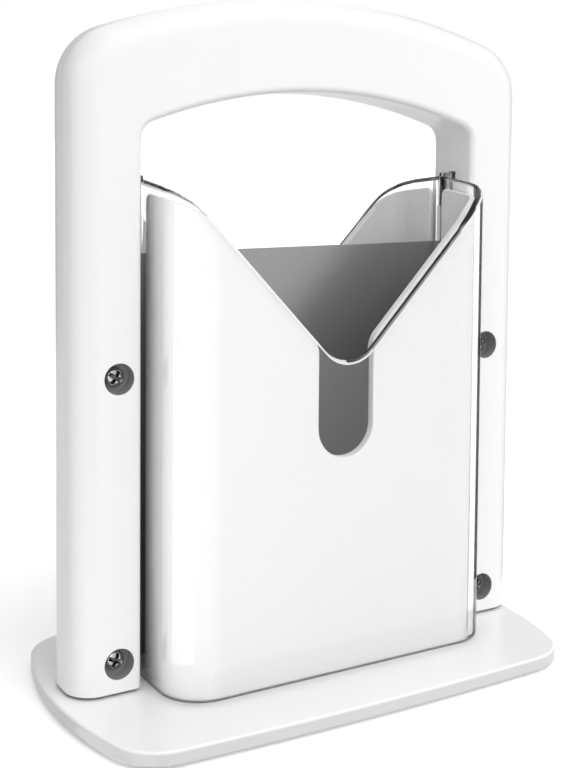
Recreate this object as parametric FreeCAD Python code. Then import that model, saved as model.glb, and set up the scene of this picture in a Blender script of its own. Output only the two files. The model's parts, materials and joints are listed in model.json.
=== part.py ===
import FreeCAD, Part
import math
import os

from FreeCAD import Vector

# Bagel guillotine slicer. Millimetres, +Z up, front towards -Y, z = 0 under the rubber feet.
# The stationary base carries a white cradle that holds the bagel on edge.
# A U-shaped handle in two halves clamps the blade and a clear shield, and drops over the cradle.

# Overall
overall_height = 235.0

# Base plate: bowed sides, so its outline is cut from four large arcs
base_width = 182.0
base_depth = 105.4
base_thickness = 4.6
base_side_bow_radius = 130.0
base_front_bow_radius = 1300.0
base_corner_radius = 18.0
base_top_round = 1.0
base_bottom_round = 0.6

# The blade frame and the cradle stand a little right of and behind the middle of the base
tower_offset_x = 3.0
tower_offset_y = 4.0

# Rubber feet, sunk in pockets under the base
foot_diameter = 13.0
foot_stand_out = 1.2
foot_pocket_depth = 1.4
foot_side_clearance = 0.15
foot_inset_x = 22.0
foot_inset_y = 15.0
foot_edge_round = 0.5

# Handle
handle_depth = 24.2
leg_width = 23.5
leg_to_shield = 3.4
handle_wall = 2.5
arch_top_radius = 235.0
arch_corner_radius = 20.0
arch_height = 32.4
grip_arch_radius = 185.0
grip_corner_radius = 6.5
handle_outer_round = 9.5
handle_inner_round = 2.4
leg_foot_round = 0.5
clamp_rib_width = 2.5

# Clear shield, wider at its bottom than at its top by the mould draft
shield_width = 125.2
shield_depth = 65.4
shield_corner_radius = 14.6
shield_wall = 2.2
shield_draft = 0.3
shield_above_base = 0.6
shield_top = 173.0
flange_thickness = 1.5
flange_above_leg_floor = 0.3
flange_reach = 18.0
flange_end_clearance = 0.4
flange_rise = 1.2

# V notch of shield and cradle, and the finger slot below it in the cradle
notch_bottom = 112.8
notch_bottom_radius = 12.7
notch_angle = 46.7
rim_fall = 0.11
rim_blend = 6.5
rim_blend_fade = 40.0
rim_corner_steps = 12
finger_slot_width = 21.4
finger_slot_bottom = 79.8
finger_slot_blend = 9.0

# Cradle
cradle_clearance = 0.5
cradle_front_wall = 3.2
cradle_side_wall = 1.4
cradle_inner_radius = 10.0
cradle_rim_drop = 4.0
cradle_notch_lift = 0.4
cradle_floor_height = 10.2
cradle_floor_thickness = 2.8
blade_slot_width = 7.0
blade_slot_round = 2.5
trough_depth = 7.0
trough_wall = 2.0
base_boss_diameter = 9.0

# Blade
blade_thickness = 1.0
blade_top = 148.5
blade_lower_edge = 12.6
blade_point_drop = 2.6
blade_end_reach = 18.0
grind_height = 4.0
edge_thickness = 0.16
tooth_pitch = 5.0
tooth_depth = 0.7

# Spacers above the blade ends, as thick as the blade
spacer_height = 13.2
spacer_inner_reach = 6.4

# Screws
handle_screw_inset = 15.5
handle_screw_low = 10.5
handle_screw_rise = 93.2
counterbore_diameter = 10.2
counterbore_depth = 5.4
counterbore_wall = 2.0
screw_diameter = 3.5
screw_hole_clearance = 0.2
screw_pilot_clearance = 0.05
screw_end_clearance = 0.6
screw_head_diameter = 6.7
screw_head_height = 2.3
screw_head_crown = 0.9
screw_engagement = 6.8
screw_tip_length = 1.6
rear_boss_diameter = 9.0
recess_width = 4.2
recess_slot = 0.95
recess_depth = 1.3
recess_taper = 0.45
screw_tip_diameter = 0.9
base_screw_inset_x = 20.4
base_screw_inset_y = 14.2
base_screw_head_height = 2.0
base_screw_engagement = 6.6
base_head_clearance = 0.4
base_head_sink = 0.2

# Sizes that follow from the ones above
base_bottom = foot_stand_out
base_top = base_bottom + base_thickness
leg_bottom = base_top
leg_inner = shield_width / 2 + leg_to_shield
leg_outer = leg_inner + leg_width
handle_screw_x = leg_outer - handle_screw_inset
# The tower's X puts the box around base and handle in the middle of X
tower_x = (base_width / 2 + tower_offset_x - leg_outer) / 2
base_x = tower_x - tower_offset_x
half_depth = handle_depth / 2
grip_top = overall_height - arch_height
shield_bottom = base_top + shield_above_base
shield_half_width = shield_width / 2
shield_half_depth = shield_depth / 2
cradle_half_width = shield_half_width - shield_wall - cradle_clearance
cradle_half_depth = shield_half_depth - shield_wall - cradle_clearance
base_screw_x = cradle_half_width - base_screw_inset_x
base_screw_y = cradle_half_depth - base_screw_inset_y
cradle_corner_radius = shield_corner_radius - shield_wall - cradle_clearance
flange_top = shield_top + flange_rise
cradle_floor_top = base_top + cradle_floor_height
cradle_rim = shield_top - cradle_rim_drop
trough_floor = cradle_floor_top - trough_depth
seat = blade_thickness / 2 + flange_thickness
flange_end = leg_inner + flange_reach
flange_bottom = leg_bottom + handle_wall + flange_above_leg_floor
screw_hole = screw_diameter / 2 + screw_hole_clearance
screw_pilot = screw_diameter / 2 + screw_pilot_clearance
head_seat_y = -half_depth + counterbore_depth
screw_rows = (leg_bottom + handle_screw_low, leg_bottom + handle_screw_low + handle_screw_rise)
sides = (("left", -1), ("right", 1))
tooth_count = int((shield_half_width - shield_wall) / tooth_pitch)
tooth_end = tooth_count * tooth_pitch

# Construction lengths: beyond every piece, a cut's overrun past a face, and a joining overlap
far = 400.0
overrun = 1.0
overlap = 0.2
flatness = 1e-4


def move(shape, x=0.0, y=0.0, z=0.0):
    placed = shape.copy()
    placed.translate(Vector(x, y, z))
    return placed


def box(x0, x1, y0, y1, z0, z1):
    return Part.makeBox(x1 - x0, y1 - y0, z1 - z0, Vector(x0, y0, z0))


def rod_y(radius, x, z, y0, y1):
    return Part.makeCylinder(radius, y1 - y0, Vector(x, y0, z), Vector(0, 1, 0))


def rod_z(radius, x, y, z0, z1):
    return Part.makeCylinder(radius, z1 - z0, Vector(x, y, z0), Vector(0, 0, 1))


def one_solid(shape):
    """The single solid of a boolean result, with split faces merged."""
    clean = shape.removeSplitter()
    return max(clean.Solids, key=lambda s: s.Volume)


def save(shape, node):
    shape.exportStep(os.path.join("parts", node + ".step"))


def rounded_column(half_width, half_depth_, radius, z0, z1, draft=0.0):
    """Upright column of rounded rectangular plan, larger by draft all round at z0 than at z1."""
    wires = []
    for z, grow in ((z0, draft), (z1, 0.0)):
        w = half_width + grow
        d = half_depth_ + grow
        r = radius + grow
        k = r * (1 - math.sqrt(0.5))
        corners = []
        for sx, sy in ((1, -1), (1, 1), (-1, 1), (-1, -1)):
            side_point = Vector(sx * w, sy * (d - r), z)
            front_point = Vector(sx * (w - r), sy * d, z)
            middle = Vector(sx * (w - k), sy * (d - k), z)
            ends = (front_point, side_point) if sx * sy < 0 else (side_point, front_point)
            corners.append((ends[0], middle, ends[1]))
        edges = []
        for i, (start, middle, end) in enumerate(corners):
            edges.append(Part.Arc(start, middle, end).toShape())
            following = corners[(i + 1) % 4][0]
            edges.append(Part.LineSegment(end, following).toShape())
        wires.append(Part.Wire(edges))
    return Part.makeLoft(wires, True, True)


def arched_outline(half_width, top, arch_radius, corner_radius, bottom):
    """Face in the XZ plane: straight sides, a shallow arched top and rounded upper corners."""
    centre_z = top - arch_radius
    reach = arch_radius - corner_radius
    corner_x = half_width - corner_radius
    corner_z = centre_z + math.sqrt(reach ** 2 - corner_x ** 2)
    lean = math.atan2(corner_x, corner_z - centre_z)
    touch_x = arch_radius * math.sin(lean)
    touch_z = centre_z + arch_radius * math.cos(lean)
    half_turn = (math.pi / 2 + lean) / 2
    mid_x = corner_x + corner_radius * math.sin(half_turn)
    mid_z = corner_z + corner_radius * math.cos(half_turn)
    p = [Vector(x, 0, z) for x, z in (
        (-half_width, bottom), (-half_width, corner_z), (-mid_x, mid_z), (-touch_x, touch_z), (0, top),
        (touch_x, touch_z), (mid_x, mid_z), (half_width, corner_z), (half_width, bottom))]
    edges = [
        Part.LineSegment(p[0], p[1]).toShape(),
        Part.Arc(p[1], p[2], p[3]).toShape(),
        Part.Arc(p[3], p[4], p[5]).toShape(),
        Part.Arc(p[5], p[6], p[7]).toShape(),
        Part.LineSegment(p[7], p[8]).toShape(),
        Part.LineSegment(p[8], p[0]).toShape(),
    ]
    return Part.Face(Part.Wire(edges))


def edges_on_plane(shape, y, inside=None):
    """Edges that lie in the plane y, kept if inside says so of their middle point."""
    found = []
    for edge in shape.Edges:
        ends = [vertex.Point for vertex in edge.Vertexes]
        middle = edge.valueAt((edge.FirstParameter + edge.LastParameter) / 2)
        if max(abs(q.y - y) for q in ends + [middle]) > flatness:
            continue
        if inside is None or inside(middle):
            found.append(edge)
    return found


def handle_slab(inset, y_front):
    """Front half of the U-shaped handle, shrunk on all sides by inset, from y_front to the seam."""
    bottom = leg_bottom + inset
    outer = arched_outline(leg_outer - inset, overall_height - inset, arch_top_radius - inset,
                           arch_corner_radius - inset, bottom)
    grip = arched_outline(leg_inner + inset, grip_top + inset, grip_arch_radius + inset,
                          grip_corner_radius + inset, bottom - far)
    slab = outer.cut(grip).extrude(Vector(0, y_front, 0))
    outer_round = handle_outer_round - inset
    inner_round = max(handle_inner_round - inset, 0.0)
    lowest = bottom + 10 * flatness

    def on_outline(q):
        return q.z > lowest and (abs(q.x) > leg_outer - inset - overrun or q.z > grip_top + arch_height / 2)

    def on_grip(q):
        return q.z > lowest and not on_outline(q)

    solid = slab.Solids[0].makeFillet(outer_round, edges_on_plane(slab.Solids[0], y_front, on_outline))
    if inner_round > 0:
        solid = solid.makeFillet(inner_round, edges_on_plane(solid, y_front, on_grip))
    return solid


def handle_shell():
    """Hollow half of the handle with its seam in the XZ plane, before it gets bosses and holes."""
    outside = handle_slab(0.0, -half_depth)
    foot_edges = [edge for edge in outside.Edges
                  if max(abs(v.Point.z - leg_bottom) for v in edge.Vertexes) < flatness
                  and min(v.Point.y for v in edge.Vertexes) < -flatness]
    outside = outside.makeFillet(leg_foot_round, foot_edges)
    inside = handle_slab(handle_wall, -half_depth + handle_wall)
    return outside, inside


def handle_half(front):
    """One half of the handle; the front half has the counterbores, the rear half the pilot holes."""
    outside, inside = handle_shell()
    shell = outside.cut(inside)
    clamp_top = blade_top + spacer_height
    boss = counterbore_diameter / 2 + counterbore_wall if front else rear_boss_diameter / 2
    adds = []
    for side in (-1, 1):
        x = side * handle_screw_x
        adds.append(box(x - clamp_rib_width / 2, x + clamp_rib_width / 2, -half_depth + handle_wall / 2, 0,
                        leg_bottom + handle_wall / 2, clamp_top))
        for z in screw_rows:
            adds.append(rod_y(boss, x, z, -half_depth + handle_wall / 2, 0))
    filled = shell.fuse([add.common(outside) for add in adds])
    cuts = []
    for side in (-1, 1):
        x = side * handle_screw_x
        near, far_end = sorted((side * (leg_inner - overrun), side * (flange_end + flange_end_clearance)))
        cuts.append(box(near, far_end, -seat, overrun, flange_bottom - flange_above_leg_floor,
                        flange_top + flange_end_clearance))
        for z in screw_rows:
            if front:
                cuts.append(rod_y(counterbore_diameter / 2, x, z, -half_depth - overrun, head_seat_y))
                cuts.append(rod_y(screw_hole, x, z, head_seat_y - overrun, overrun))
            else:
                depth = seat + screw_engagement + screw_end_clearance
                cuts.append(rod_y(screw_pilot, x, z, -depth, overrun))
    half = one_solid(filled.cut(cuts))
    if not front:
        half = half.mirror(Vector(0, 0, 0), Vector(0, 1, 0))
    return half


def notch_profile():
    """Where the round bottom of the notch meets its slopes (x, z), and the rise of the slopes."""
    slope = math.radians(notch_angle)
    foot_x = notch_bottom_radius * math.sin(slope)
    foot_z = notch_bottom + notch_bottom_radius * (1 - math.cos(slope))
    return foot_x, foot_z, math.tan(slope)


def rim_height(x, y, turn, top, lift):
    """Height of a corner's rim: the notch slope, then the falling rim, with a blend between them."""
    foot_x, foot_z, rise = notch_profile()
    slope_z = foot_z + lift + (x - foot_x) * rise
    rim_z = top - rim_fall * y
    apart = min(abs(slope_z - rim_z), rim_blend)
    fade = min(1.0, (90.0 - turn) / rim_blend_fade)
    return min(slope_z, rim_z) - fade * (rim_blend - apart) ** 2 / (4 * rim_blend)


def notch_cutter(half_width, half_depth_, lift):
    """Prism along Y of all that lies above the notch, from one rounded corner to the other."""
    foot_x, foot_z, rise = notch_profile()
    end_z = foot_z + (half_width - foot_x) * rise
    p = [Vector(x, -half_depth_, z + lift) for x, z in (
        (-half_width, end_z), (-foot_x, foot_z), (0, notch_bottom), (foot_x, foot_z),
        (half_width, end_z), (half_width, far), (-half_width, far))]
    edges = [
        Part.LineSegment(p[0], p[1]).toShape(),
        Part.Arc(p[1], p[2], p[3]).toShape(),
        Part.LineSegment(p[3], p[4]).toShape(),
        Part.LineSegment(p[4], p[5]).toShape(),
        Part.LineSegment(p[5], p[6]).toShape(),
        Part.LineSegment(p[6], p[0]).toShape(),
    ]
    return Part.Face(Part.Wire(edges)).extrude(Vector(0, 2 * half_depth_, 0))


def side_cutter(half_depth_, top):
    """All that lies above the rim of the side walls, which falls gently from the blade plane."""
    fall = rim_fall * half_depth_
    points = [Vector(-far, -half_depth_, top - fall), Vector(-far, 0, top),
              Vector(-far, half_depth_, top - fall), Vector(-far, half_depth_, far),
              Vector(-far, -half_depth_, far), Vector(-far, -half_depth_, top - fall)]
    return Part.Face(Part.makePolygon(points)).extrude(Vector(2 * far, 0, 0))


def corner_cutter(centre_x, centre_y, radius, top, lift):
    """All that lies above the rim of the front right corner, level along each radius of it."""
    wires = []
    for i in range(rim_corner_steps + 1):
        turn = 90.0 * i / rim_corner_steps
        out_x = math.sin(math.radians(turn))
        out_y = -math.cos(math.radians(turn))
        z = rim_height(centre_x + radius * out_x, centre_y - radius * out_y, turn, top, lift)
        wires.append(Part.makePolygon([
            Vector(centre_x + r * out_x, -centre_y + r * out_y, height)
            for r, height in ((radius / 4, z), (2 * radius, z), (2 * radius, far), (radius / 4, far),
                              (radius / 4, z))]))
    return Part.makeLoft(wires, True, True)


def rim_cutters(half_width, half_depth_, radius, top, lift=0.0):
    """Cutters that leave the rim of a rounded column with a notch in its front and rear."""
    centre_x = half_width - radius
    centre_y = half_depth_ - radius
    corner = corner_cutter(centre_x, centre_y, radius, top, lift)
    mirrored = corner.mirror(Vector(0, 0, 0), Vector(1, 0, 0))
    front = [corner, mirrored]
    rear = [cutter.mirror(Vector(0, 0, 0), Vector(0, 1, 0)) for cutter in front]
    notch = notch_cutter(centre_x, 2 * half_depth_, lift)
    return front + rear + [notch, side_cutter(centre_y, top)]


def shield_half(front):
    """Clear wall of one side, with flanges that the handle clamps against the blade."""
    outer = rounded_column(shield_half_width, shield_half_depth, shield_corner_radius,
                           shield_bottom, far / 2, shield_draft)
    inner = rounded_column(shield_half_width - shield_wall, shield_half_depth - shield_wall,
                           shield_corner_radius - shield_wall, shield_bottom - overrun, far / 2, shield_draft)
    keep = box(-far, far, -far, -blade_thickness / 2, shield_bottom - overrun, far)
    wall = outer.cut(inner).common(keep)
    flanges = []
    for side in (-1, 1):
        near, end = sorted((side * (shield_half_width - shield_wall / 2), side * flange_end))
        flange = box(near, end, -seat, -blade_thickness / 2, flange_bottom, flange_top)
        for z in screw_rows:
            flange = flange.cut(rod_y(screw_hole, side * handle_screw_x, z, -seat - overrun, 0))
        flanges.append(flange)
    wall = wall.cut(rim_cutters(shield_half_width, shield_half_depth, shield_corner_radius, shield_top))
    half = one_solid(wall.fuse(flanges))
    if not front:
        half = half.mirror(Vector(0, 0, 0), Vector(0, 1, 0))
    return half


def finger_slot():
    """Slot below the notch through both walls of the cradle, flared where it meets the notch."""
    half = finger_slot_width / 2
    slope = math.radians(notch_angle)
    foot_x, foot_z, rise = notch_profile()
    meet_z = foot_z + cradle_notch_lift + (half - foot_x) * rise
    turn = math.pi / 2 - slope
    tangent = finger_slot_blend * math.tan(turn / 2)
    low_z = meet_z - tangent
    high_x = half + tangent * math.cos(slope)
    high_z = meet_z + tangent * math.sin(slope)
    centre_x = half + finger_slot_blend
    mid_x = centre_x - finger_slot_blend * math.cos(turn / 2)
    mid_z = low_z + finger_slot_blend * math.sin(turn / 2)
    y = -shield_depth
    round_z = finger_slot_bottom + half
    p = [Vector(x, y, z) for x, z in (
        (-high_x, high_z), (-mid_x, mid_z), (-half, low_z), (-half, round_z), (0, finger_slot_bottom),
        (half, round_z), (half, low_z), (mid_x, mid_z), (high_x, high_z))]
    edges = [
        Part.Arc(p[0], p[1], p[2]).toShape(),
        Part.LineSegment(p[2], p[3]).toShape(),
        Part.Arc(p[3], p[4], p[5]).toShape(),
        Part.LineSegment(p[5], p[6]).toShape(),
        Part.Arc(p[6], p[7], p[8]).toShape(),
        Part.LineSegment(p[8], p[0]).toShape(),
    ]
    return Part.Face(Part.Wire(edges)).extrude(Vector(0, 2 * shield_depth, 0))


def cradle():
    """White holder: a tub with a raised floor, a trough for the blade edge and slots in its sides."""
    outer = rounded_column(cradle_half_width, cradle_half_depth, cradle_corner_radius, base_top, far / 2)
    inner_width = cradle_half_width - cradle_side_wall
    inner_depth = cradle_half_depth - cradle_front_wall
    pocket = rounded_column(inner_width, inner_depth, cradle_inner_radius, cradle_floor_top,
                            far / 2 + overrun)
    under = rounded_column(inner_width, inner_depth, cradle_inner_radius, base_top - overrun,
                           cradle_floor_top - cradle_floor_thickness)
    body = outer.cut([pocket, under])
    trough_half = blade_slot_width / 2 + trough_wall
    trough_end = inner_width + cradle_side_wall / 2
    trough = box(-trough_end, trough_end, -trough_half, trough_half,
                 trough_floor - trough_wall, cradle_floor_top - cradle_floor_thickness / 2)
    bosses = [rod_z(base_boss_diameter / 2, sx * base_screw_x, sy * base_screw_y, base_top,
                    cradle_floor_top - cradle_floor_thickness / 2)
              for sx in (-1, 1) for sy in (-1, 1)]
    body = body.fuse([trough] + bosses)
    half_slot = blade_slot_width / 2
    cuts = rim_cutters(cradle_half_width, cradle_half_depth, cradle_corner_radius, cradle_rim,
                       cradle_notch_lift)
    cuts += [finger_slot(), box(-far, far, -half_slot, half_slot, trough_floor, far)]
    for sx in (-1, 1):
        for sy in (-1, 1):
            top = base_top + base_screw_engagement + screw_end_clearance
            cuts.append(rod_z(screw_pilot, sx * base_screw_x, sy * base_screw_y, base_top - overrun, top))
    holder = one_solid(body.cut(cuts))
    slot_corners = [edge for edge in holder.Edges
                    if all(abs(abs(v.Point.y) - half_slot) < flatness and v.Point.z > cradle_rim - overrun
                           for v in edge.Vertexes)]
    return holder.makeFillet(blade_slot_round, slot_corners)


def blade_outline():
    """Plain rectangle with a shallow pointed lower edge that is scalloped into teeth."""
    end = leg_inner + blade_end_reach
    fall = blade_point_drop / tooth_end

    def edge_z(x):
        return blade_lower_edge - blade_point_drop + fall * abs(x)

    start = Vector(-tooth_end, 0, edge_z(tooth_end))
    edges = []
    for i in range(-tooth_count, tooth_count):
        left = Vector(i * tooth_pitch, 0, edge_z(i * tooth_pitch))
        right = Vector((i + 1) * tooth_pitch, 0, edge_z((i + 1) * tooth_pitch))
        middle = (left + right) * 0.5 + Vector(0, 0, tooth_depth)
        edges.append(Part.Arc(left, middle, right).toShape())
    finish = edges[-1].Vertexes[1].Point
    around = [finish, Vector(end, 0, finish.z), Vector(end, 0, blade_top), Vector(-end, 0, blade_top),
              Vector(-end, 0, start.z), start]
    for a, b in zip(around[:-1], around[1:]):
        edges.append(Part.LineSegment(a, b).toShape())
    return Part.Face(Part.Wire(edges))


def grind_wedge(side):
    """What grinding takes off one half of the front of the blade along its lower edge."""
    point_z = blade_lower_edge - blade_point_drop - tooth_depth
    end_z = blade_lower_edge - tooth_depth
    outer = side * (shield_half_width - shield_wall / 2)
    lean = (end_z - point_z) / tooth_end
    face = -blade_thickness / 2
    sections = []
    for x in (-side * flatness, outer):
        z = point_z + lean * abs(x)
        sections.append(Part.makePolygon([
            Vector(x, -edge_thickness / 2, z), Vector(x, face, z + grind_height + tooth_depth),
            Vector(x, face - overrun, z + grind_height + tooth_depth), Vector(x, face - overrun, z),
            Vector(x, -edge_thickness / 2, z)]))
    return Part.makeLoft(sections, True, True)


def blade():
    """Coated steel plate; its ends lie in the handle legs, held by the four handle screws."""
    plate = blade_outline().extrude(Vector(0, blade_thickness, 0))
    plate = move(plate, y=-blade_thickness / 2)
    cuts = [rod_y(screw_hole, side * handle_screw_x, z, -overrun, overrun)
            for side in (-1, 1) for z in screw_rows]
    for side in (-1, 1):
        wedge = grind_wedge(side)
        cuts.append(wedge)
        cuts.append(wedge.mirror(Vector(0, 0, 0), Vector(0, 1, 0)))
    return one_solid(plate.cut(cuts))


def spacer(side):
    """White strip that fills the gap between the shield flanges just above the blade."""
    near, end = sorted((side * (leg_inner - spacer_inner_reach), side * flange_end))
    half = blade_thickness / 2
    return box(near, end, -half, half, blade_top, blade_top + spacer_height)


def cross_recess(top):
    """Cross-shaped driver recess sunk from the height top, along -Z."""
    half = recess_width / 2
    slot = recess_slot / 2
    arms = []
    for along, across in ((half, slot), (slot, half)):
        wires = []
        for z, scale in ((top + overlap, 1.0), (top - recess_depth, recess_taper)):
            x = along * scale
            y = across * scale
            wires.append(Part.makePolygon([Vector(-x, -y, z), Vector(x, -y, z), Vector(x, y, z),
                                           Vector(-x, y, z), Vector(-x, -y, z)]))
        arms.append(Part.makeLoft(wires, True, True))
    return arms


def pan_screw(length, head_height):
    """Pan head screw standing on its seat at z = 0, shank down; its thread is a plain rod."""
    head_radius = screw_head_diameter / 2
    shoulder = head_height - screw_head_crown
    crown_radius = (head_radius ** 2 + screw_head_crown ** 2) / (2 * screw_head_crown)
    lean = math.asin(head_radius / crown_radius) / 2
    crown_middle = Vector(crown_radius * math.sin(lean), 0,
                          head_height - crown_radius * (1 - math.cos(lean)))
    profile = [
        Part.LineSegment(Vector(0, 0, 0), Vector(head_radius, 0, 0)).toShape(),
        Part.LineSegment(Vector(head_radius, 0, 0), Vector(head_radius, 0, shoulder)).toShape(),
        Part.Arc(Vector(head_radius, 0, shoulder), crown_middle, Vector(0, 0, head_height)).toShape(),
        Part.LineSegment(Vector(0, 0, head_height), Vector(0, 0, 0)).toShape(),
    ]
    head = Part.Face(Part.Wire(profile)).revolve(Vector(0, 0, 0), Vector(0, 0, 1), 360)
    shank = rod_z(screw_diameter / 2, 0, 0, -length + screw_tip_length, overlap)
    tip = Part.makeCone(screw_tip_diameter / 2, screw_diameter / 2, screw_tip_length,
                        Vector(0, 0, -length), Vector(0, 0, 1))
    return one_solid(head.fuse([shank, tip]).cut(cross_recess(head_height)))


def handle_screw(side, z):
    length = -head_seat_y + seat + screw_engagement
    screw = pan_screw(length, screw_head_height)
    screw.rotate(Vector(0, 0, 0), Vector(1, 0, 0), 90)
    return move(screw, side * handle_screw_x, head_seat_y, z)


def base_head_seat():
    return base_bottom + base_head_sink + base_screw_head_height


def base_screw(sx, sy):
    length = base_top - base_head_seat() + base_screw_engagement
    screw = pan_screw(length, base_screw_head_height)
    screw.rotate(Vector(0, 0, 0), Vector(1, 0, 0), 180)
    return move(screw, sx * base_screw_x, sy * base_screw_y, base_head_seat())


def foot_place(sx, sy):
    return (sx * (base_width / 2 - foot_inset_x), sy * (base_depth / 2 - foot_inset_y))


def foot():
    height = foot_stand_out + foot_pocket_depth
    disc = rod_z(foot_diameter / 2, 0, 0, 0, height)
    lower_edge = [edge for edge in disc.Edges
                  if len(edge.Vertexes) == 1 and edge.Vertexes[0].Point.z < flatness]
    return disc.makeFillet(foot_edge_round, lower_edge)


def base_plate():
    """Plate with bowed sides; sockets for the feet and screw holes from below."""
    span_x = base_side_bow_radius - base_width / 2
    span_y = base_front_bow_radius - base_depth / 2
    plate = rod_z(base_side_bow_radius, span_x, 0, base_bottom, base_top)
    plate = plate.common(rod_z(base_side_bow_radius, -span_x, 0, base_bottom, base_top))
    plate = plate.common(rod_z(base_front_bow_radius, 0, span_y, base_bottom, base_top))
    plate = plate.common(rod_z(base_front_bow_radius, 0, -span_y, base_bottom, base_top))
    plate = plate.Solids[0]
    uprights = [edge for edge in plate.Edges
                if abs(edge.Vertexes[0].Point.z - edge.Vertexes[-1].Point.z) > base_thickness / 2
                and abs(edge.Vertexes[0].Point.x) > base_width / 4
                and abs(edge.Vertexes[0].Point.y) > base_depth / 4]
    plate = plate.makeFillet(base_corner_radius, uprights)
    for z, size in ((base_top, base_top_round), (base_bottom, base_bottom_round)):
        rim = [edge for edge in plate.Edges
               if max(abs(v.Point.z - z) for v in edge.Vertexes) < flatness]
        plate = plate.makeFillet(size, rim)
    cuts = []
    for sx in (-1, 1):
        for sy in (-1, 1):
            x, y = foot_place(sx, sy)
            cuts.append(rod_z(foot_diameter / 2 + foot_side_clearance, x, y, base_bottom - overrun,
                              base_bottom + foot_pocket_depth))
            x = tower_x - base_x + sx * base_screw_x
            y = tower_offset_y + sy * base_screw_y
            cuts.append(rod_z(screw_head_diameter / 2 + base_head_clearance, x, y, base_bottom - overrun,
                              base_head_seat()))
            cuts.append(rod_z(screw_hole, x, y, base_bottom, base_top + overrun))
    return one_solid(plate.cut(cuts))


def build():
    os.makedirs("parts", exist_ok=True)
    tower = {
        "cradle": cradle(),
        "handle_front_half": handle_half(True),
        "handle_rear_half": handle_half(False),
        "shield_front": shield_half(True),
        "shield_rear": shield_half(False),
        "blade": blade(),
    }
    for name, side in sides:
        tower["shield_spacer_" + name] = spacer(side)
        for row, z in zip(("lower", "upper"), screw_rows):
            tower["handle_screw_" + row + "_" + name] = handle_screw(side, z)
    for row, sy in (("front", -1), ("rear", 1)):
        for name, sx in sides:
            tower["base_screw_" + row + "_" + name] = base_screw(sx, sy)
    for node, shape in tower.items():
        save(move(shape, tower_x, tower_offset_y), node)
    save(move(base_plate(), base_x), "base_plate")
    for row, sy in (("front", -1), ("rear", 1)):
        for name, sx in sides:
            x, y = foot_place(sx, sy)
            save(move(foot(), base_x + x, y), "foot_" + row + "_" + name)


build()
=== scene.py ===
import bmesh
import bpy
import json
import math
from mathutils import Matrix, Vector


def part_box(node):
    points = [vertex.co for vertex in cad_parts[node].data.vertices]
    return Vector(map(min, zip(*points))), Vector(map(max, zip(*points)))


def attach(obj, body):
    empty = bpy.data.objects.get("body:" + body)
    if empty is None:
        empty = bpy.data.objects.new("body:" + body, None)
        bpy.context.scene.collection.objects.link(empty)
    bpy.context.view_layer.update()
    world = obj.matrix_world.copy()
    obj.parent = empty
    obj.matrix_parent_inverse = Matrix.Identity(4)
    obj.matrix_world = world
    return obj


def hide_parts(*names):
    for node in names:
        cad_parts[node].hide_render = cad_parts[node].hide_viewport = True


# Bagel guillotine slicer, dressed for the render. Metres, +Z up, front towards -Y.

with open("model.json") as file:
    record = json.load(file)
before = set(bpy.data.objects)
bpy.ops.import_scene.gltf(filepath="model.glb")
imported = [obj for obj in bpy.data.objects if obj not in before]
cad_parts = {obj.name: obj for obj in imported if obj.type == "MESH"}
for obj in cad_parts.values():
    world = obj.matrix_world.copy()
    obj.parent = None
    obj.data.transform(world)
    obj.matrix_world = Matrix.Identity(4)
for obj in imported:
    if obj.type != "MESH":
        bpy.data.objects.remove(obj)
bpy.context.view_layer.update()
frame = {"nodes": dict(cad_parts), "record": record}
nodes = frame["nodes"]

# Middle of the cradle and of the guillotine unit, as in part.py
tower_x, tower_y = 0.00225, 0.004


# Meshes and objects

def mesh_data(name, mesh):
    """Mesh data with the content of a bmesh, which is freed."""
    data = bpy.data.meshes.new(name)
    mesh.to_mesh(data)
    mesh.free()
    return data


def add_object(name, data):
    """A new object in the scene's own collection."""
    added = bpy.data.objects.new(name, data)
    bpy.context.scene.collection.objects.link(added)
    return added


def weighted_normals(piece):
    """Shading that keeps the large faces flat beside their rounded edges."""
    weighted = piece.modifiers.new("normals", "WEIGHTED_NORMAL")
    weighted.keep_sharp = False


def apply_boolean(piece, other, operation, use_self=False):
    """Join or cut a piece with another object, which is then removed."""
    boolean = piece.modifiers.new("boolean", "BOOLEAN")
    boolean.operation = operation
    boolean.solver = "EXACT"
    boolean.use_self = use_self
    boolean.object = other
    graph = bpy.context.evaluated_depsgraph_get()
    result = bpy.data.meshes.new_from_object(piece.evaluated_get(graph))
    piece.modifiers.clear()
    piece.data = result
    bpy.data.objects.remove(other)


# Material building blocks

def new_material(name):
    """Empty node material with a principled shader on its surface."""
    material = bpy.data.materials.new(name)
    material.use_nodes = True
    tree = material.node_tree
    tree.nodes.clear()
    out = tree.nodes.new("ShaderNodeOutputMaterial")
    shader = tree.nodes.new("ShaderNodeBsdfPrincipled")
    tree.links.new(shader.outputs[0], out.inputs["Surface"])
    return material, tree, shader


def object_noise(tree, scale, detail=2.0):
    """Noise fixed to the object, from 0 to 1."""
    place = tree.nodes.new("ShaderNodeTexCoord")
    noise = tree.nodes.new("ShaderNodeTexNoise")
    noise.inputs["Scale"].default_value = scale
    noise.inputs["Detail"].default_value = detail
    tree.links.new(place.outputs["Object"], noise.inputs["Vector"])
    return noise.outputs["Fac"]


def ramp_between(tree, factor, low, high):
    """Colour ramp from one colour to another along a factor."""
    ramp = tree.nodes.new("ShaderNodeValToRGB")
    ramp.color_ramp.elements[0].color = (*low, 1)
    ramp.color_ramp.elements[1].color = (*high, 1)
    tree.links.new(factor, ramp.inputs["Fac"])
    return ramp


def mapped(tree, factor, low, high, start=0.0, end=1.0):
    """A value that goes from low to high while the factor goes from start to end."""
    spread = tree.nodes.new("ShaderNodeMapRange")
    spread.inputs["From Min"].default_value = start
    spread.inputs["From Max"].default_value = end
    spread.inputs["To Min"].default_value = low
    spread.inputs["To Max"].default_value = high
    tree.links.new(factor, spread.inputs["Value"])
    return spread.outputs["Result"]


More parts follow.
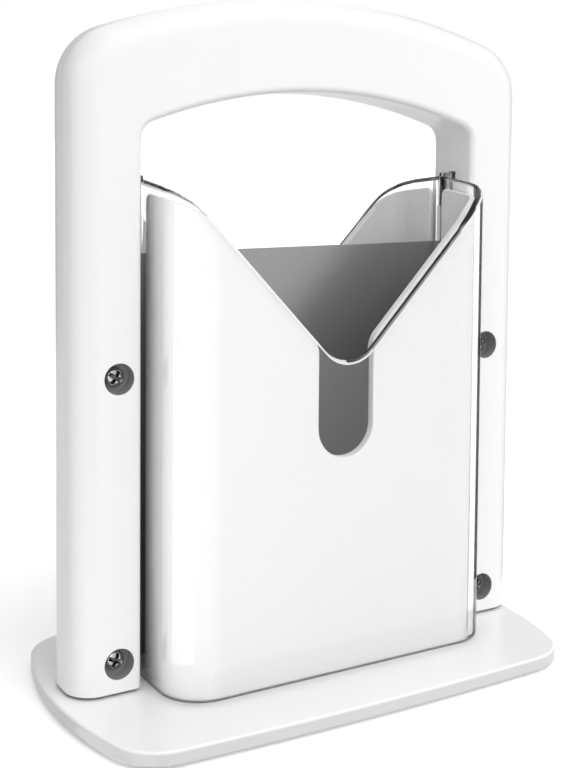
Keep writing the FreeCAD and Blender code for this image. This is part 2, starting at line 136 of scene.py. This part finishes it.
def larger(tree, first, second):
    """The larger of two values."""
    compare = tree.nodes.new("ShaderNodeMath")
    compare.operation = "MAXIMUM"
    tree.links.new(first, compare.inputs[0])
    tree.links.new(second, compare.inputs[1])
    return compare.outputs[0]


# Materials of the part

bump_distance = 0.0002
# Heights of the normal between which the painted side shade fades out
side_shade_start, side_shade_end = 0.2, 0.9
acrylic_ior, acrylic_roughness = 1.49, (0.0, 0.02)
# Facing values between which the painted grazing shade of the clear acrylic sets in, and its darkest tone
grazing_shade_start, grazing_shade_end, grazing_shade_tone = 0.615, 0.645, 0.03
absorbed_tone, absorbed_density = 0.5, 26.0
cut_roughness = 0.3


def mottled(name, low, high, scale, roughness, bump=0.0, metallic=0.0, specular=0.5):
    """Principled material whose colour and roughness vary slightly over the object."""
    material, tree, shader = new_material(name)
    noise = object_noise(tree, scale, detail=4.0)
    tree.links.new(ramp_between(tree, noise, low, high).outputs["Color"], shader.inputs["Base Color"])
    tree.links.new(mapped(tree, noise, *roughness), shader.inputs["Roughness"])
    shader.inputs["Metallic"].default_value = metallic
    shader.inputs["Specular IOR Level"].default_value = specular
    if bump:
        relief = tree.nodes.new("ShaderNodeBump")
        relief.inputs["Strength"].default_value = bump
        relief.inputs["Distance"].default_value = bump_distance
        tree.links.new(noise, relief.inputs["Height"])
        tree.links.new(relief.outputs["Normal"], shader.inputs["Normal"])
    return material


def painted_side_shade(material, tone):
    """Painted shade: upright faces made a little greyer in colour than the ones that look up, for the light
    that falls on them less.
    """
    tree = material.node_tree
    shader = [node for node in tree.nodes if node.type == "BSDF_PRINCIPLED"][0]
    colour = shader.inputs["Base Color"].links[0].from_socket
    surface = tree.nodes.new("ShaderNodeNewGeometry")
    parts = tree.nodes.new("ShaderNodeSeparateXYZ")
    tree.links.new(surface.outputs["Normal"], parts.inputs[0])
    scale = tree.nodes.new("ShaderNodeVectorMath")
    scale.operation = "SCALE"
    tree.links.new(colour, scale.inputs[0])
    share = mapped(tree, parts.outputs["Z"], tone, 1.0, side_shade_start, side_shade_end)
    tree.links.new(share, scale.inputs["Scale"])
    tree.links.new(scale.outputs[0], shader.inputs["Base Color"])


def clear_plastic(name):
    """Clear acrylic that is darker through its thickness, with painted shade where it is seen at a grazing
    angle, for the dark reflections on its edges.
    """
    material, tree, shader = new_material(name)
    shader.inputs["Transmission Weight"].default_value = 1.0
    shader.inputs["IOR"].default_value = acrylic_ior
    noise = object_noise(tree, scale=25)
    tree.links.new(mapped(tree, noise, *acrylic_roughness), shader.inputs["Roughness"])
    # Painted shade: the colour goes dark at grazing angles, standing in for dark reflections at the edges
    grazing = tree.nodes.new("ShaderNodeLayerWeight")
    grazing.inputs["Blend"].default_value = 0.5
    grazing_shade = ramp_between(tree, grazing.outputs["Facing"], (1, 1, 1), (grazing_shade_tone, grazing_shade_tone, grazing_shade_tone))
    grazing_shade.color_ramp.elements[0].position = grazing_shade_start
    grazing_shade.color_ramp.elements[1].position = grazing_shade_end
    tree.links.new(grazing_shade.outputs["Color"], shader.inputs["Base Color"])
    absorb = tree.nodes.new("ShaderNodeVolumeAbsorption")
    absorb.inputs["Color"].default_value = (absorbed_tone, absorbed_tone, absorbed_tone, 1)
    absorb.inputs["Density"].default_value = absorbed_density
    out = [node for node in tree.nodes if node.type == "OUTPUT_MATERIAL"][0]
    tree.links.new(absorb.outputs["Volume"], out.inputs["Volume"])
    return material


def acrylic_cut(name, low, high, transmission, ior):
    """Cut edge of the clear acrylic, with a slightly uneven tone between given low and high tones, so that
    it can carry painted shade or a painted highlight.
    """
    material, tree, shader = new_material(name)
    shader.inputs["Transmission Weight"].default_value = transmission
    shader.inputs["IOR"].default_value = ior
    shader.inputs["Roughness"].default_value = cut_roughness
    ramp = ramp_between(tree, object_noise(tree, scale=300), (low, low, low), (high, high, high))
    tree.links.new(ramp.outputs["Color"], shader.inputs["Base Color"])
    return material


white_handle = mottled("white_handle", low=(0.835, 0.835, 0.832), high=(0.85, 0.85, 0.847), scale=60,
                       roughness=(0.28, 0.36), specular=0.25)
white_cradle = mottled("white_cradle", low=(0.775, 0.775, 0.772), high=(0.79, 0.79, 0.787), scale=60,
                       roughness=(0.35, 0.45), specular=0.25)
white_base = mottled("white_base", low=(0.92, 0.92, 0.917), high=(0.935, 0.935, 0.932), scale=60,
                     roughness=(0.28, 0.36), specular=0.4)
# Painted shade: the base plate's upright faces darkened in colour to 0.66 of its tone
painted_side_shade(white_base, tone=0.66)
blade_coat = mottled("coated_blade", low=(0.29, 0.291, 0.293), high=(0.325, 0.326, 0.328), scale=900,
                     roughness=(0.32, 0.40), bump=0.12, metallic=0.72)
# Painted shade: dark grey for the counterbores and the legs' undersides, where shade falls on the white
# plastic
painted_shade_grey = mottled("painted_recess_shade_grey", low=(0.25, 0.25, 0.25), high=(0.29, 0.29, 0.29), scale=900,
                      roughness=(0.45, 0.55))
screw_steel = mottled("steel_screw", low=(0.44, 0.44, 0.45), high=(0.54, 0.54, 0.55), scale=700,
                      roughness=(0.12, 0.20), bump=0.02, metallic=1.0)
# Painted shade: a darker steel for the faces inside the cross recess, where shade falls
steel_painted_recess_shade = mottled("steel_painted_recess_shade", low=(0.10, 0.10, 0.10), high=(0.15, 0.15, 0.15), scale=700,
                       roughness=(0.3, 0.4), bump=0.02, metallic=1.0)
foot_rubber = mottled("foot_rubber", low=(0.45, 0.45, 0.44), high=(0.52, 0.52, 0.51), scale=700,
                      roughness=(0.6, 0.75), bump=0.3)
clear_acrylic = clear_plastic("clear_acrylic")
# Painted shade and painted highlight: the dark cut edge stands in for shade and dark reflections on the
# rims, the light one for the highlight of light from the right and above
shaded_acrylic_edge = acrylic_cut("shaded_acrylic_edge", low=0.10, high=0.16, transmission=1.0, ior=1.3)
highlit_acrylic_edge = acrylic_cut("highlit_acrylic_edge", low=0.86, high=0.94, transmission=0.25, ior=1.5)
acrylic_seam = acrylic_cut("acrylic_seam", low=0.94, high=1.0, transmission=1.0, ior=1.02)

by_slot = {"white_handle": white_handle, "white_cradle": white_cradle, "white_base": white_base,
           "coated_blade": blade_coat, "steel_screw": screw_steel, "foot_rubber": foot_rubber,
           "clear_acrylic": clear_acrylic}
slot_of = {}
for part in frame["record"]["subparts"]:
    node = nodes[part["node"]]
    slot_of[part["node"]] = part["material_slot"]
    node.data.materials.clear()
    node.data.materials.append(by_slot[part["material_slot"]])


# Rounded edges

cradle_round, blade_round, handle_round = 0.0005, 0.00012, 0.00015
merge_distance = 2e-6
flat_angle, sharp_angle = math.radians(0.3), math.radians(28.0)


def rounded(name, body, radius, segments=3):
    """A piece with the form of a CAD node and its sharp edges rounded; it stands for that node."""
    source = nodes[name]
    mesh = bmesh.new()
    mesh.from_mesh(source.data)
    mesh.transform(source.matrix_world)
    bmesh.ops.remove_doubles(mesh, verts=mesh.verts, dist=merge_distance)
    bmesh.ops.dissolve_limit(mesh, angle_limit=flat_angle, use_dissolve_boundaries=False,
                             verts=mesh.verts, edges=mesh.edges)
    edges = [edge for edge in mesh.edges
             if len(edge.link_faces) == 2 and edge.calc_face_angle(0.0) > sharp_angle]
    bmesh.ops.bevel(mesh, geom=edges, offset=radius, offset_type="OFFSET", segments=segments, profile=0.5,
                    affect="EDGES", clamp_overlap=False, miter_outer="ARC", loop_slide=True)
    for face in mesh.faces:
        face.smooth = True
    piece = add_object(name + "_rounded", mesh_data(name + "_rounded", mesh))
    piece.data.materials.append(by_slot[slot_of[name]])
    weighted_normals(piece)
    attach(piece, body)
    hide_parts(name)
    return piece


# Sizes of the clear shield, as in part.py where that has them

shield_half_width, shield_half_depth, corner = 0.0626, 0.0327, 0.0146
wall = 0.0022
shield_low, shield_top = 0.0064, 0.173
draft, draft_end = 0.0003, 0.2
notch_bottom, notch_radius, notch_slope = 0.1128, 0.0127, math.radians(46.7)
rim_fall, rim_blend, rim_fade = 0.11, 0.0065, math.radians(40)
blade_top = 0.1485
flange_end, flange_seat = 0.084, 0.0020
flange_low, flange_top = 0.0086, 0.1742

# Sizes of the clear shield that only the render has: rounds, and the seam that closes above the blade
low_round, outer_round, inner_round = 0.0010, 0.0014, 0.0006
inner_ease = 0.0008
flange_round = 0.0002
blade_gap, closed_gap = 0.0005, 0.0001
seam_start, seam_closed = blade_top + 0.0005, blade_top + 0.0010

# Steps of the shield's mesh, and how far the notch's close steps reach from its middle
side_steps, corner_steps, slope_steps, slope_count, notch_steps = 7, 32, 20, 15, 10
notch_reach = 0.0115
level_steps, round_steps = 7, 6

# Which faces of the shield count as closed seam, flange, lower rim or upper rim
seam_reach, flange_reach, low_rim = 0.0007, 0.0024, 0.0008
facing, facing_seam = 0.05, 0.9
# Bounds for the rim faces that take the painted highlight
lit_bound, lit_bound_drop = 0.87, 0.5
clear_index, painted_shade_index, painted_highlight_index, seam_index = range(4)


# Clear shield

def notch_height(x):
    """Height of the notch over the middle plane, at x from its lowest point."""
    foot_x = notch_radius * math.sin(notch_slope)
    if abs(x) < foot_x:
        return notch_bottom + notch_radius - math.sqrt(notch_radius ** 2 - x ** 2)
    foot_height = notch_bottom + notch_radius * (1 - math.cos(notch_slope))
    return foot_height + (abs(x) - foot_x) * math.tan(notch_slope)


def side_stations(centre_y):
    """Stations along the left side wall, from the seam to the corner."""
    found = []
    for i in range(side_steps):
        y = blade_gap + (centre_y - blade_gap) * i / side_steps
        found.append((-shield_half_width, -y, -1.0, 0.0, shield_top - rim_fall * y, 0.0, 0.0))
    return found


def corner_stations(centre_x, centre_y):
    """Stations around the left front corner, where the falling rim blends into the notch."""
    found = []
    for i in range(corner_steps + 1):
        turn = math.pi / 2 * (1 - i / corner_steps)
        x, y = centre_x + corner * math.sin(turn), centre_y + corner * math.cos(turn)
        slope_z, rim_z = notch_height(x), shield_top - rim_fall * y
        apart = min(abs(slope_z - rim_z), rim_blend)
        fade = min(1.0, (math.pi / 2 - turn) / rim_fade)
        height = min(slope_z, rim_z) - fade * (rim_blend - apart) ** 2 / (4 * rim_blend)
        found.append((-x, -y, -math.sin(turn), -math.cos(turn), height,
                      inner_ease * (1 - math.sin(turn)), inner_ease * (1 - math.cos(turn))))
    return found


def wall_stations():
    """Points along the outer face of the front wall, with outward direction, rim height and, for the
    inner face, the shift that gives its corners a slightly larger round."""
    centre_x, centre_y = shield_half_width - corner, shield_half_depth - corner
    found = side_stations(centre_y) + corner_stations(centre_x, centre_y)
    flat = [-centre_x + centre_x * (i / slope_steps) for i in range(1, slope_count + 1)]
    bottom = [-notch_reach + notch_reach * i / notch_steps for i in range(notch_steps + 1)]
    for x in flat + bottom:
        found.append((x, -shield_half_depth, 0.0, -1.0, notch_height(x), 0.0, 0.0))
    mirrored = [(-x, y, -out_x, out_y, height, -ease_x, ease_y)
                for x, y, out_x, out_y, height, ease_x, ease_y in found[-2::-1]]
    return found + mirrored


def wall_section(height, seam=False):
    """Closed outline of the wall across its thickness: depth from the outer face, and height."""
    outline = []

    def turn_corner(centre_depth, centre_z, radius, start):
        for i in range(round_steps + 1):
            turn = math.radians(start - 90 / round_steps * i)
            outline.append((centre_depth + radius * math.cos(turn), centre_z + radius * math.sin(turn)))

    def run(depth, start, end):
        levels = [start + (end - start) * i / level_steps for i in range(1, level_steps)]
        if seam and end > start:
            levels[-2:] = [seam_start, seam_closed]
        elif seam:
            levels[:2] = [seam_closed, seam_start]
        outline.extend((depth, z) for z in levels)

    turn_corner(low_round, shield_low + low_round, low_round, 270)
    run(0.0, shield_low + low_round, height - outer_round)
    turn_corner(outer_round, height - outer_round, outer_round, 180)
    turn_corner(wall - inner_round, height - inner_round, inner_round, 90)
    run(wall, height - inner_round, shield_low + inner_round)
    turn_corner(wall - inner_round, shield_low + inner_round, inner_round, 0)
    return outline


def wall_mesh(flip):
    """Mesh of one clear wall: its section carried along the stations, with closed ends."""
    mesh = bmesh.new()
    rings = []
    for x, y, out_x, out_y, height, ease_x, ease_y in wall_stations():
        ring = []
        seam = y == -blade_gap
        for depth, z in wall_section(height, seam):
            grow = draft * (draft_end - z) / (draft_end - shield_low) - depth
            share = depth / wall
            along = -closed_gap if seam and z > seam_start else y + out_y * grow + ease_y * share
            ring.append(mesh.verts.new((x + out_x * grow + ease_x * share, flip * along, z)))
        rings.append(ring)
    count = len(rings[0])
    for first, second in zip(rings[:-1], rings[1:]):
        for i in range(count):
            following = (i + 1) % count
            mesh.faces.new((first[i], first[following], second[following], second[i]))
    for ring in (rings[0], rings[-1]):
        for i in range(count // 2 - 1):
            mesh.faces.new((ring[i], ring[i + 1], ring[count - 2 - i], ring[count - 1 - i]))
    bmesh.ops.recalc_face_normals(mesh, faces=mesh.faces)
    mesh.transform(Matrix.Translation((tower_x, tower_y, 0)))
    return mesh


def flange_object(side, flip):
    """Plate at one end of a clear wall, which the halves of the handle clamp."""
    mesh = bmesh.new()
    x_low, x_high = sorted((side * (shield_half_width - wall / 2), side * flange_end))
    y_low, y_high = sorted((flip * -flange_seat, flip * -blade_gap))
    middle = (tower_x + (x_low + x_high) / 2, tower_y + (y_low + y_high) / 2, (flange_low + flange_top) / 2)
    size = (x_high - x_low, y_high - y_low, flange_top - flange_low, 1)
    bmesh.ops.create_cube(mesh, size=1.0)
    mesh.transform(Matrix.Translation(middle) @ Matrix.Diagonal(size))
    bmesh.ops.bevel(mesh, geom=mesh.edges[:], offset=flange_round, offset_type="OFFSET", segments=2,
                    profile=0.5, affect="EDGES")
    bmesh.ops.recalc_face_normals(mesh, faces=mesh.faces)
    return add_object("flange", mesh_data("flange", mesh))


def shield_index(polygon, front):
    """Material of a face of the shield: clear, or a painted tone on its cut edge: painted shade along the
    bottom and on rims that look left or inwards, a painted highlight on the front wall's rims that look
    right or outwards.
    """
    normal = polygon.normal
    from_seam = abs(polygon.center.y - tower_y)
    if from_seam < seam_reach and abs(normal.y) > facing_seam:
        return seam_index
    if from_seam < flange_reach:
        return clear_index
    if polygon.center.z < shield_low + low_rim:
        return painted_shade_index
    if normal.z <= facing:
        return clear_index
    straight = shield_half_width - corner
    from_middle = polygon.center.x - tower_x
    across_x = from_middle - max(-straight, min(straight, from_middle))
    across_y = min(0.0, polygon.center.y - tower_y + shield_half_depth - corner)
    outward = Vector((across_x, across_y, 0)).normalized()
    bound = lit_bound - lit_bound_drop * max(0.0, outward.x)
    lit = front and (normal.x > facing or normal.dot(outward) > bound)
    return painted_highlight_index if lit else painted_shade_index


def clear_half(name, front):
    """One clear wall with rounded rims, joined to the flanges that the handle clamps."""
    flip = 1 if front else -1
    piece = add_object(name + "_clear", mesh_data(name + "_clear", wall_mesh(flip)))
    for side in (-1, 1):
        apply_boolean(piece, flange_object(side, flip), "UNION")
    piece.data.materials.clear()
    for material in (clear_acrylic, shaded_acrylic_edge, highlit_acrylic_edge, acrylic_seam):
        piece.data.materials.append(material)
    for polygon in piece.data.polygons:
        polygon.use_smooth = True
        polygon.material_index = shield_index(polygon, front)
    weighted_normals(piece)
    piece.visible_shadow = False
    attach(piece, "guillotine_unit")
    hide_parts(name)
    return piece


clear_half("shield_front", True)
clear_half("shield_rear", False)

# Cradle and blade

rounded("cradle", "stand", cradle_round)
rounded("blade", "guillotine_unit", blade_round, segments=2)


# Handle halves

handle_half_depth = 0.0121
front_face = tower_y - handle_half_depth
screw_x = 0.074
screw_z = (0.0163, 0.1095)
bore_start, bore_end, bore_radius = 0.0003, 0.0056, 0.00522
foot_top, underside_top, facing_down = 0.0066, 0.0075, -0.7
foot_lift = 0.0009


def in_counterbore(point):
    """Whether a point of the front half lies on the wall or the floor of a screw's counterbore."""
    if point.y < front_face + bore_start or point.y > front_face + bore_end:
        return False
    for side in (-1, 1):
        for z in screw_z:
            if math.hypot(point.x - tower_x - side * screw_x, point.z - z) < bore_radius:
                return True
    return False


def lift_feet(piece):
    """Let the legs end just above the base, with their undersides painted dark grey as painted shade, so
    that a thin dark joint shows.
    """
    for vertex in piece.data.vertices:
        if vertex.co.z < foot_top:
            vertex.co.z += foot_lift
    piece.data.materials.append(painted_shade_grey)
    # Painted shade: the downward faces of the feet take the dark grey
    for polygon in piece.data.polygons:
        if polygon.normal.z < facing_down and polygon.center.z < underside_top:
            polygon.material_index = 1


handle_front = rounded("handle_front_half", "guillotine_unit", handle_round, segments=2)
lift_feet(handle_front)
# Painted shade: the counterbores of the front half take the dark grey, for the shade inside them
for polygon in handle_front.data.polygons:
    if in_counterbore(polygon.center):
        polygon.material_index = 1
handle_rear = rounded("handle_rear_half", "guillotine_unit", handle_round, segments=2)
lift_feet(handle_rear)


# Sizes of the handle's screws

# The crown is given by radius and height over the seat, the head's side by inset and height
head_height = 0.0023
crown_outline = ((0.0, 0.0023), (0.0009, 0.00226), (0.0018, 0.00212), (0.0026, 0.00182), (0.0031, 0.00142))
side_outline = ((0.00008, 0.0009), (0.0, 0.0006), (0.0, 0.00015), (0.0001, 0.0))
shank_radius, tip_radius, tip_length = 0.00175, 0.00045, 0.0016
ring_count = 48
arm_reach, arm_half_width = 0.00315, 0.00078
recess_levels = ((0.0030, 1.12), (0.0007, 0.42))
edge_round, edge_angle, edge_height = 0.00008, math.radians(35), 0.0006
crown_sphere, recess_reach = 0.0067, 0.0030
recess_from_seat, recess_from_crown = 0.0002, 0.00016


# Screws

def lathe(profile):
    """Mesh turned about the Y axis from pairs of radius and height towards the front."""
    mesh = bmesh.new()
    rings = []
    turns = [2 * math.pi * i / ring_count for i in range(ring_count)]
    for radius, rise in profile:
        if radius == 0.0:
            rings.append([mesh.verts.new((0, -rise, 0))])
            continue
        rings.append([mesh.verts.new((radius * math.cos(turn), -rise, radius * math.sin(turn)))
                      for turn in turns])
    for first, second in zip(rings[:-1], rings[1:]):
        for i in range(ring_count):
            following = (i + 1) % ring_count
            if len(first) == 1:
                mesh.faces.new((first[0], second[i], second[following]))
            elif len(second) == 1:
                mesh.faces.new((first[i], second[0], first[following]))
            else:
                mesh.faces.new((first[i], second[i], second[following], first[following]))
    bmesh.ops.recalc_face_normals(mesh, faces=mesh.faces)
    return mesh


def recess_cutter(name):
    """Two tapered bars that cross, in the shape of the driver recess."""
    mesh = bmesh.new()
    for along, across in ((arm_reach, arm_half_width), (arm_half_width, arm_reach)):
        mouth, foot = [[mesh.verts.new((side_x * along * scale, -rise, side_z * across * scale))
                        for side_x, side_z in ((-1, -1), (1, -1), (1, 1), (-1, 1))]
                       for rise, scale in recess_levels]
        mesh.faces.new(mouth)
        mesh.faces.new(foot[::-1])
        for i in range(4):
            following = (i + 1) % 4
            mesh.faces.new((mouth[i], foot[i], foot[following], mouth[following]))
    bmesh.ops.recalc_face_normals(mesh, faces=mesh.faces)
    return add_object(name + "_cutter", mesh_data(name + "_cutter", mesh))


def soften_and_place(data, turn, place):
    """Round the sharp edges of a screw's head, turn the screw and put it in its place."""
    mesh = bmesh.new()
    mesh.from_mesh(data)
    edges = [edge for edge in mesh.edges
             if len(edge.link_faces) == 2 and edge.calc_face_angle(0.0) > edge_angle
             and edge.verts[0].co.y < -edge_height and edge.verts[1].co.y < -edge_height]
    bmesh.ops.bevel(mesh, geom=edges, offset=edge_round, offset_type="OFFSET", segments=2, profile=0.5,
                    affect="EDGES", clamp_overlap=False)
    mesh.transform(Matrix.Rotation(math.radians(turn), 4, "Y"))
    mesh.transform(Matrix.Translation(place))
    for face in mesh.faces:
        face.smooth = True
    mesh.to_mesh(data)
    mesh.free()


def paint_recess_shade(data, place):
    """Painted shade: give the faces that lie below the head's crown, within the recess, the darker steel.
    """
    for polygon in data.polygons:
        away = math.hypot(polygon.center.x - place[0], polygon.center.z - place[2])
        crown = place[1] - head_height + away ** 2 / (2 * crown_sphere)
        below_crown = polygon.center.y > crown + recess_from_crown
        if away < recess_reach and below_crown and polygon.center.y < place[1] - recess_from_seat:
            polygon.material_index = 1


def screw(name, body, turn):
    """Pan head screw with a crowned head, rounded head edge and a wide tapered cross recess."""
    low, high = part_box(name)
    low, high = Vector(low), Vector(high)
    head = (high.x - low.x) / 2
    seat_y = low.y + head_height
    shank_end = seat_y - high.y
    place = ((low.x + high.x) / 2, seat_y, (low.z + high.z) / 2)
    profile = [*crown_outline, *((head - inset, rise) for inset, rise in side_outline),
               (shank_radius, 0.0), (shank_radius, shank_end + tip_length), (tip_radius, shank_end),
               (0.0, shank_end)]
    piece = add_object(name + "_detail", mesh_data(name + "_body", lathe(profile)))
    apply_boolean(piece, recess_cutter(name), "DIFFERENCE", use_self=True)
    soften_and_place(piece.data, turn, place)
    piece.data.materials.clear()
    piece.data.materials.append(screw_steel)
    piece.data.materials.append(steel_painted_recess_shade)
    paint_recess_shade(piece.data, place)
    weighted_normals(piece)
    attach(piece, body)
    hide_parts(name)
    return piece


for name, turn in (("handle_screw_upper_left", 32), ("handle_screw_lower_left", 24),
                   ("handle_screw_upper_right", 20), ("handle_screw_lower_right", 38)):
    screw(name, "guillotine_unit", turn)


# Studio floor and world

floor_reach = 30.0
floor_tone, floor_lift = 0.9, 0.30
world_dim = 0.68


def white_where_seen(tree, dim):
    """A factor that is 1 for camera, glossy and transmission rays, and dim for the light on the object."""
    path = tree.nodes.new("ShaderNodeLightPath")
    seen = larger(tree, path.outputs["Is Camera Ray"], path.outputs["Is Glossy Ray"])
    seen = larger(tree, seen, path.outputs["Is Transmission Ray"])
    return mapped(tree, seen, dim, 1.0)


def floor_white():
    """Matte white that takes shadows, with a little light of its own where it is seen."""
    material = bpy.data.materials.new("floor")
    material.use_nodes = True
    tree = material.node_tree
    tree.nodes.clear()
    out = tree.nodes.new("ShaderNodeOutputMaterial")
    matte = tree.nodes.new("ShaderNodeBsdfDiffuse")
    matte.inputs["Color"].default_value = (floor_tone, floor_tone, floor_tone, 1)
    lift = tree.nodes.new("ShaderNodeEmission")
    tree.links.new(white_where_seen(tree, 0.0), lift.inputs["Strength"])
    lift.inputs["Color"].default_value = (floor_lift, floor_lift, floor_lift, 1)
    both = tree.nodes.new("ShaderNodeAddShader")
    tree.links.new(matte.outputs[0], both.inputs[0])
    tree.links.new(lift.outputs[0], both.inputs[1])
    tree.links.new(both.outputs[0], out.inputs["Surface"])
    return material


def studio_floor():
    """Large white floor under the part."""
    mesh = bpy.data.meshes.new("floor")
    corners = [(-floor_reach, -floor_reach, 0), (floor_reach, -floor_reach, 0),
               (floor_reach, floor_reach, 0), (-floor_reach, floor_reach, 0)]
    mesh.from_pydata(corners, [], [(0, 1, 2, 3)])
    floor = add_object("floor", mesh)
    mesh.materials.append(floor_white())


def studio_world():
    """White surroundings that light the part less than they show."""
    world = bpy.data.worlds.new("studio")
    bpy.context.scene.world = world
    world.use_nodes = True
    background = world.node_tree.nodes["Background"]
    background.inputs["Color"].default_value = (1, 1, 1, 1)
    tree = world.node_tree
    tree.links.new(white_where_seen(tree, world_dim), background.inputs["Strength"])


studio_floor()
studio_world()


# Lamps

def sun(name, towards, angle, power):
    """Soft distant lamp that stands in the given direction and has the given width in degrees."""
    data = bpy.data.lights.new(name, "SUN")
    data.angle = math.radians(angle)
    data.energy = power
    lit = add_object(name, data)
    lit.rotation_euler = Vector(towards).to_track_quat("Z", "Y").to_euler()
    return lit


sun("top", towards=(0, 0, 1), angle=90, power=0.22)
key = sun("key", towards=(0.22, -0.62, 0.76), angle=50, power=1.20)
key.visible_glossy = False
sun("fill", towards=(-0.50, -0.80, 0.33), angle=60, power=0.50)


# Cards, placed by azimuth in degrees from +Y towards +X

card_height_over_floor = 0.0004


def card(name, material, corners):
    """A card that only reflections see, unless its flags are changed afterwards."""
    mesh = bpy.data.meshes.new(name)
    mesh.from_pydata([tuple(corner) for corner in corners], [], [(0, 1, 2, 3)])
    panel = add_object(name, mesh)
    mesh.materials.append(material)
    panel.visible_camera = False
    panel.visible_diffuse = False
    panel.visible_shadow = False
    panel.visible_transmission = False
    return panel


def upright_card(name, material, azimuth, distance, width, height):
    """A card that stands on the floor and faces the origin."""
    turn = math.radians(azimuth)
    middle = Vector((math.sin(turn), math.cos(turn), 0)) * distance
    along = Vector((math.cos(turn), -math.sin(turn), 0)) * width / 2
    rise = Vector((0, 0, height))
    corners = (middle - along, middle + along, middle + along + rise, middle - along + rise)
    return card(name, material, corners)


def floor_card(name, material, centre, low_azimuth, high_azimuth, near, far):
    """A card just over the floor, from one azimuth to another and from near to far of a centre."""
    corners = []
    for azimuth, distance in ((low_azimuth, near), (high_azimuth, near),
                              (high_azimuth, far), (low_azimuth, far)):
        turn = math.radians(azimuth)
        x = centre[0] + math.sin(turn) * distance
        y = centre[1] + math.cos(turn) * distance
        corners.append(Vector((x, y, card_height_over_floor)))
    return card(name, material, corners)


def glowing(name, strength):
    """Material that shows only its own white light."""
    material, tree, shader = new_material(name)
    shader.inputs["Base Color"].default_value = (0, 0, 0, 1)
    shader.inputs["Emission Color"].default_value = (1, 1, 1, 1)
    shader.inputs["Emission Strength"].default_value = strength
    return material


def dull_black(name):
    """Material for the dark cards."""
    material, tree, shader = new_material(name)
    shader.inputs["Base Color"].default_value = (0.02, 0.02, 0.02, 1)
    shader.inputs["Roughness"].default_value = 0.9
    return material


dark_card = dull_black("dark_card")
light_card = glowing("light_card", strength=2.8)
flag_grey = glowing("flag_grey", strength=0.40)
upright_card("card_right", dark_card, azimuth=76, distance=0.13, width=0.10, height=0.5)
upright_card("card_left", dark_card, azimuth=-6, distance=0.7, width=0.5, height=0.7)
upright_card("card_front", light_card, azimuth=248, distance=0.8, width=0.9, height=0.8)
floor_card("card_low", light_card, centre=(-0.0554, -0.0201), low_azimuth=216, high_azimuth=281,
           near=0.04, far=0.85)

# The flag takes light from the left of the part: only diffuse rays see it
flag = upright_card("flag_left", flag_grey, azimuth=276, distance=0.34, width=0.75, height=0.62)
flag.visible_diffuse = True
flag.visible_glossy = False


# Camera, as fitted to the photograph; lengths in the picture are pixels

picture_width, picture_height = 576, 768
focal_length, middle_x, middle_y = 1272.6, 293.67, 215.36
sensor_width = 36
camera_place = (-0.22603, -0.38342, 0.18776)
yaw, pitch, roll = math.radians(30.15), math.radians(3.6), math.radians(0.5)

forward = Vector((math.sin(yaw) * math.cos(pitch), math.cos(yaw) * math.cos(pitch), -math.sin(pitch)))
level_right = Vector((math.cos(yaw), -math.sin(yaw), 0))
level_up = level_right.cross(forward)
right = level_right * math.cos(roll) + level_up * math.sin(roll)
up = right.cross(forward)
camera_data = bpy.data.cameras.new("camera")
camera = add_object("camera", camera_data)
axes = Matrix((right, up, -forward)).transposed()
camera.matrix_world = Matrix.Translation(camera_place) @ axes.to_4x4()
camera_data.sensor_fit = "AUTO"
camera_data.sensor_width = sensor_width
camera_data.lens = focal_length * sensor_width / picture_height
camera_data.shift_x = (picture_width / 2 - middle_x) / picture_height
camera_data.shift_y = (middle_y - picture_height / 2) / picture_height
bpy.context.scene.camera = camera

bpy.context.scene.view_settings.view_transform = "Standard"
